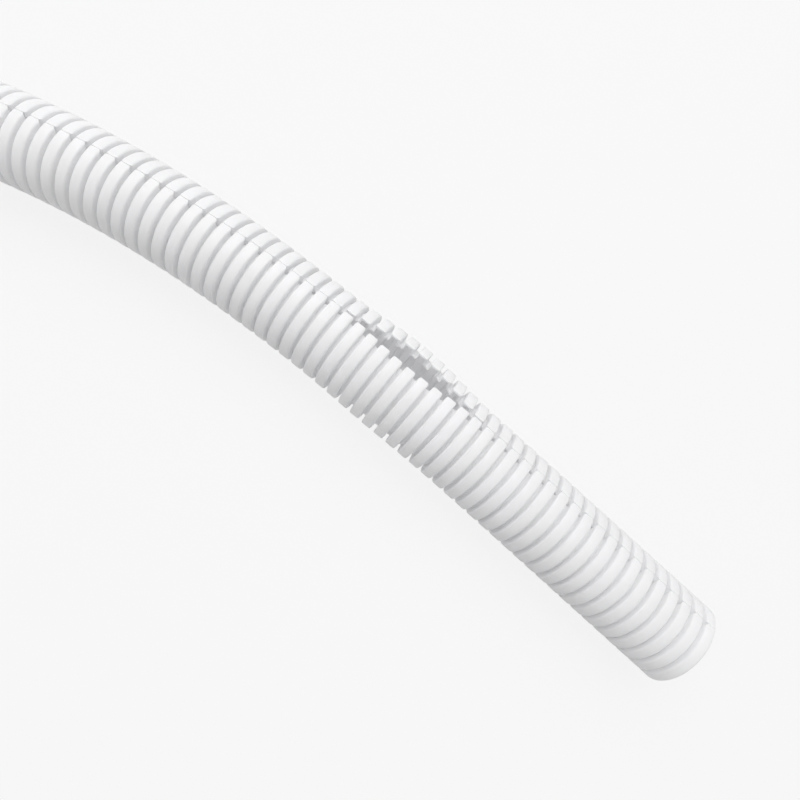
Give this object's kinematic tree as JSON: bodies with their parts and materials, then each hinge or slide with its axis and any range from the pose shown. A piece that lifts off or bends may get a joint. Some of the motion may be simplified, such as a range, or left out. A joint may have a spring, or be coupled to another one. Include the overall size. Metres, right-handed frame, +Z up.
{
  "type": "split corrugated conduit",
  "caption": "Slit corrugated plastic cable conduit with square-topped crests, gently bent, its slit sprung open along one stretch so that cables can be laid in from the side.",
  "frame": {"origin": "centre of the free end's opening, on the tube's axis", "axes": "+X points out of the free end's opening along its axis, +Z is up, and the tube lies on a floor 12.5 mm below the origin"},
  "size_m": [0.9391, 0.3446, 0.0267],
  "materials": {
    "conduit": "white moulded polypropylene, satin"
  },
  "bodies": {
    "root": {"conduit": "conduit"}
  },
  "joints": []
}
